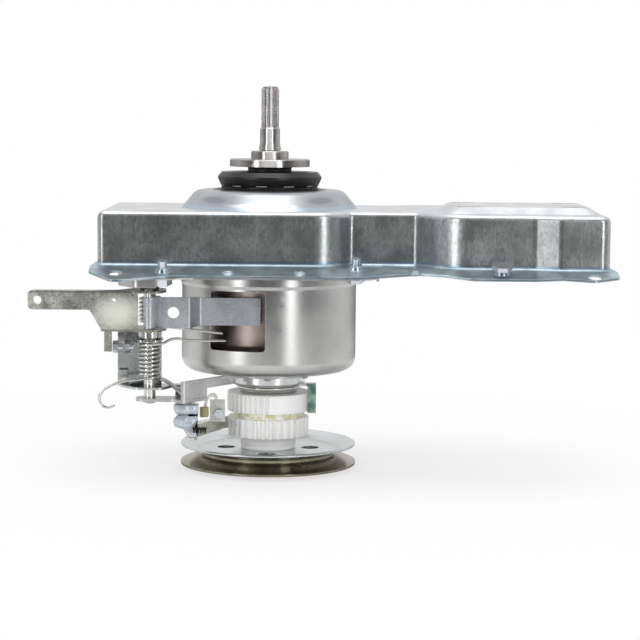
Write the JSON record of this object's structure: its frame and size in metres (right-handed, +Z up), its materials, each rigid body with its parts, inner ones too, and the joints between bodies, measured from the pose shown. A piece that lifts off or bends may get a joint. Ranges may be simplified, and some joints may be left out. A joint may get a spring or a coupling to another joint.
{
  "type": "washing machine transmission",
  "caption": "Washing machine clutch and planetary gearbox on a pressed channel base plate, with brake case, brake lever, ratchet sleeve and belt pulley.",
  "frame": {"origin": "spin axis at the top face of the hub disc that the tub bolts to", "axes": "+Z up along the shafts, +X along the motor arm, +Y to the back"},
  "size_m": [0.3788, 0.18, 0.258],
  "materials": {
    "galvanized": "fine grained zinc coat",
    "case_steel": "satin zinc",
    "zinc_pale": "pale yellow zinc plate",
    "zinc_blue": "blue zinc plate",
    "black_rubber": "matte",
    "black_steel": "oiled black oxide",
    "polished_steel": "ground and polished",
    "bearing_steel": "polished",
    "bronze": "sintered bronze",
    "drum_steel": "worn, brownish",
    "friction_lining": "brake lining",
    "spring_steel": "blued strip",
    "white_plastic": "white acetal with grease",
    "gear_steel": "machined",
    "pulley_zinc": "zinc plate"
  },
  "bodies": {
    "root": {"base_plate": "galvanized", "brake_case": "case_steel", "case_screws": "zinc_blue", "arm_screw": "zinc_blue", "water_seal": "black_rubber", "upper_bearing_cup": "case_steel", "upper_bearing_outer_ring": "bearing_steel", "lower_bearing_outer_ring": "bearing_steel", "lower_bearing_cover": "case_steel", "cover_rivets": "case_steel", "brake_lining": "friction_lining", "brake_band": "spring_steel", "lever_pivot_pin": "polished_steel", "pivot_washer": "black_steel", "pivot_collar": "polished_steel", "support_bracket": "zinc_blue", "pawl_pin": "polished_steel", "brake_torsion_spring": "polished_steel", "lever_spring": "polished_steel"},
    "gearbox": {"tub_shaft": "polished_steel", "shaft_boot": "black_rubber", "upper_bush": "bronze", "lower_bush": "bronze", "drum_cover": "drum_steel", "brake_drum": "drum_steel", "ring_gear": "gear_steel", "lower_spin_shaft": "drum_steel", "input_bush": "bronze", "dust_washer": "polished_steel", "clutch_spring": "polished_steel", "upper_bearing_inner_ring": "bearing_steel", "lower_bearing_inner_ring": "bearing_steel"},
    "pulsator": {"pulsator_shaft": "polished_steel", "planet_carrier": "gear_steel", "planet_pins": "gear_steel"},
    "planet_1_body": {"planet_1": "white_plastic"},
    "planet_2_body": {"planet_2": "white_plastic"},
    "planet_3_body": {"planet_3": "white_plastic"},
    "planet_4_body": {"planet_4": "white_plastic"},
    "input": {"input_shaft": "gear_steel", "clutch_hub": "bronze", "pulley_upper_half": "pulley_zinc", "pulley_lower_half": "pulley_zinc", "pulley_washer": "pulley_zinc", "pulley_nut": "pulley_zinc"},
    "sleeve": {"ratchet_sleeve": "white_plastic"},
    "upper_balls": {"upper_bearing_balls": "bearing_steel"},
    "lower_balls": {"lower_bearing_balls": "bearing_steel"},
    "brake_lever_body": {"brake_lever": "zinc_pale", "band_pin": "polished_steel"},
    "strap": {"band_strap": "zinc_blue"},
    "pawl_lever_body": {"pawl_lever": "zinc_pale", "stop_screw": "zinc_blue", "stop_nut": "zinc_blue"},
    "pawl_body": {"pawl": "zinc_pale", "pawl_plate": "zinc_pale", "pawl_screw": "zinc_blue", "pawl_clip": "zinc_pale", "pawl_spring": "black_steel"}
  },
  "joints": [
    {"name": "tub_spin", "type": "hinge", "parent": "root", "child": "gearbox", "pos_m": [0, 0, 0], "axis": [0, 0, 1], "continuous": true},
    {"name": "input_spin", "type": "hinge", "parent": "gearbox", "child": "input", "pos_m": [0, 0, -0.19], "axis": [0, 0, 1], "continuous": true},
    {"name": "pulsator_spin", "type": "hinge", "parent": "gearbox", "child": "pulsator", "pos_m": [0, 0, 0.02], "axis": [0, 0, 1], "continuous": true},
    {"name": "sleeve_turn", "type": "hinge", "parent": "gearbox", "child": "sleeve", "pos_m": [0, 0, -0.17], "axis": [0, 0, 1], "range_deg": [0, 15]},
    {"name": "upper_balls_roll", "type": "hinge", "parent": "root", "child": "upper_balls", "pos_m": [0, 0, -0.0297], "axis": [0, 0, 1], "continuous": true},
    {"name": "lower_balls_roll", "type": "hinge", "parent": "root", "child": "lower_balls", "pos_m": [0, 0, -0.1461], "axis": [0, 0, 1], "continuous": true},
    {"name": "lever_swing", "type": "hinge", "parent": "root", "child": "brake_lever_body", "pos_m": [-0.077, -0.048, -0.1], "axis": [0, 0, 1], "range_deg": [0, 12], "stiffness_Nm_per_rad": 0.6, "springref_deg": -5.73, "deforming": ["brake_torsion_spring", "lever_spring"]},
    {"name": "strap_pull", "type": "hinge", "parent": "brake_lever_body", "child": "strap", "pos_m": [-0.0765, -0.0603, -0.0993], "axis": [0, 0, 1], "range_deg": [-12, 0]},
    {"name": "pawl_lever_swing", "type": "hinge", "parent": "root", "child": "pawl_lever_body", "pos_m": [-0.077, -0.048, -0.13], "axis": [0, 0, 1], "range_deg": [0, 12]},
    {"name": "pawl_swing", "type": "hinge", "parent": "root", "child": "pawl_body", "pos_m": [-0.05, -0.047, -0.17], "axis": [0, 0, 1], "range_deg": [0, 10]},
    {"name": "planet_1_spin", "type": "hinge", "parent": "pulsator", "child": "planet_1_body", "pos_m": [0.0225, 0, -0.102], "axis": [0, 0, 1], "continuous": true},
    {"name": "planet_2_spin", "type": "hinge", "parent": "pulsator", "child": "planet_2_body", "pos_m": [0, 0.0225, -0.102], "axis": [0, 0, 1], "continuous": true},
    {"name": "planet_3_spin", "type": "hinge", "parent": "pulsator", "child": "planet_3_body", "pos_m": [-0.0225, 0, -0.102], "axis": [0, 0, 1], "continuous": true},
    {"name": "planet_4_spin", "type": "hinge", "parent": "pulsator", "child": "planet_4_body", "pos_m": [0, -0.0225, -0.102], "axis": [0, 0, 1], "continuous": true}
  ],
  "couplings": [
    {"joint": "pulsator_spin", "follows": "input_spin", "ratio": 0.22222},
    {"joint": "upper_balls_roll", "follows": "tub_spin", "ratio": 0.4},
    {"joint": "lower_balls_roll", "follows": "tub_spin", "ratio": 0.4},
    {"joint": "strap_pull", "follows": "lever_swing", "ratio": -1},
    {"joint": "pawl_lever_swing", "follows": "lever_swing", "ratio": 1},
    {"joint": "pawl_swing", "follows": "lever_swing", "ratio": 0.83333},
    {"joint": "planet_1_spin", "follows": "input_spin", "ratio": -0.62222},
    {"joint": "planet_2_spin", "follows": "input_spin", "ratio": -0.62222},
    {"joint": "planet_3_spin", "follows": "input_spin", "ratio": -0.62222},
    {"joint": "planet_4_spin", "follows": "input_spin", "ratio": -0.62222}
  ]
}
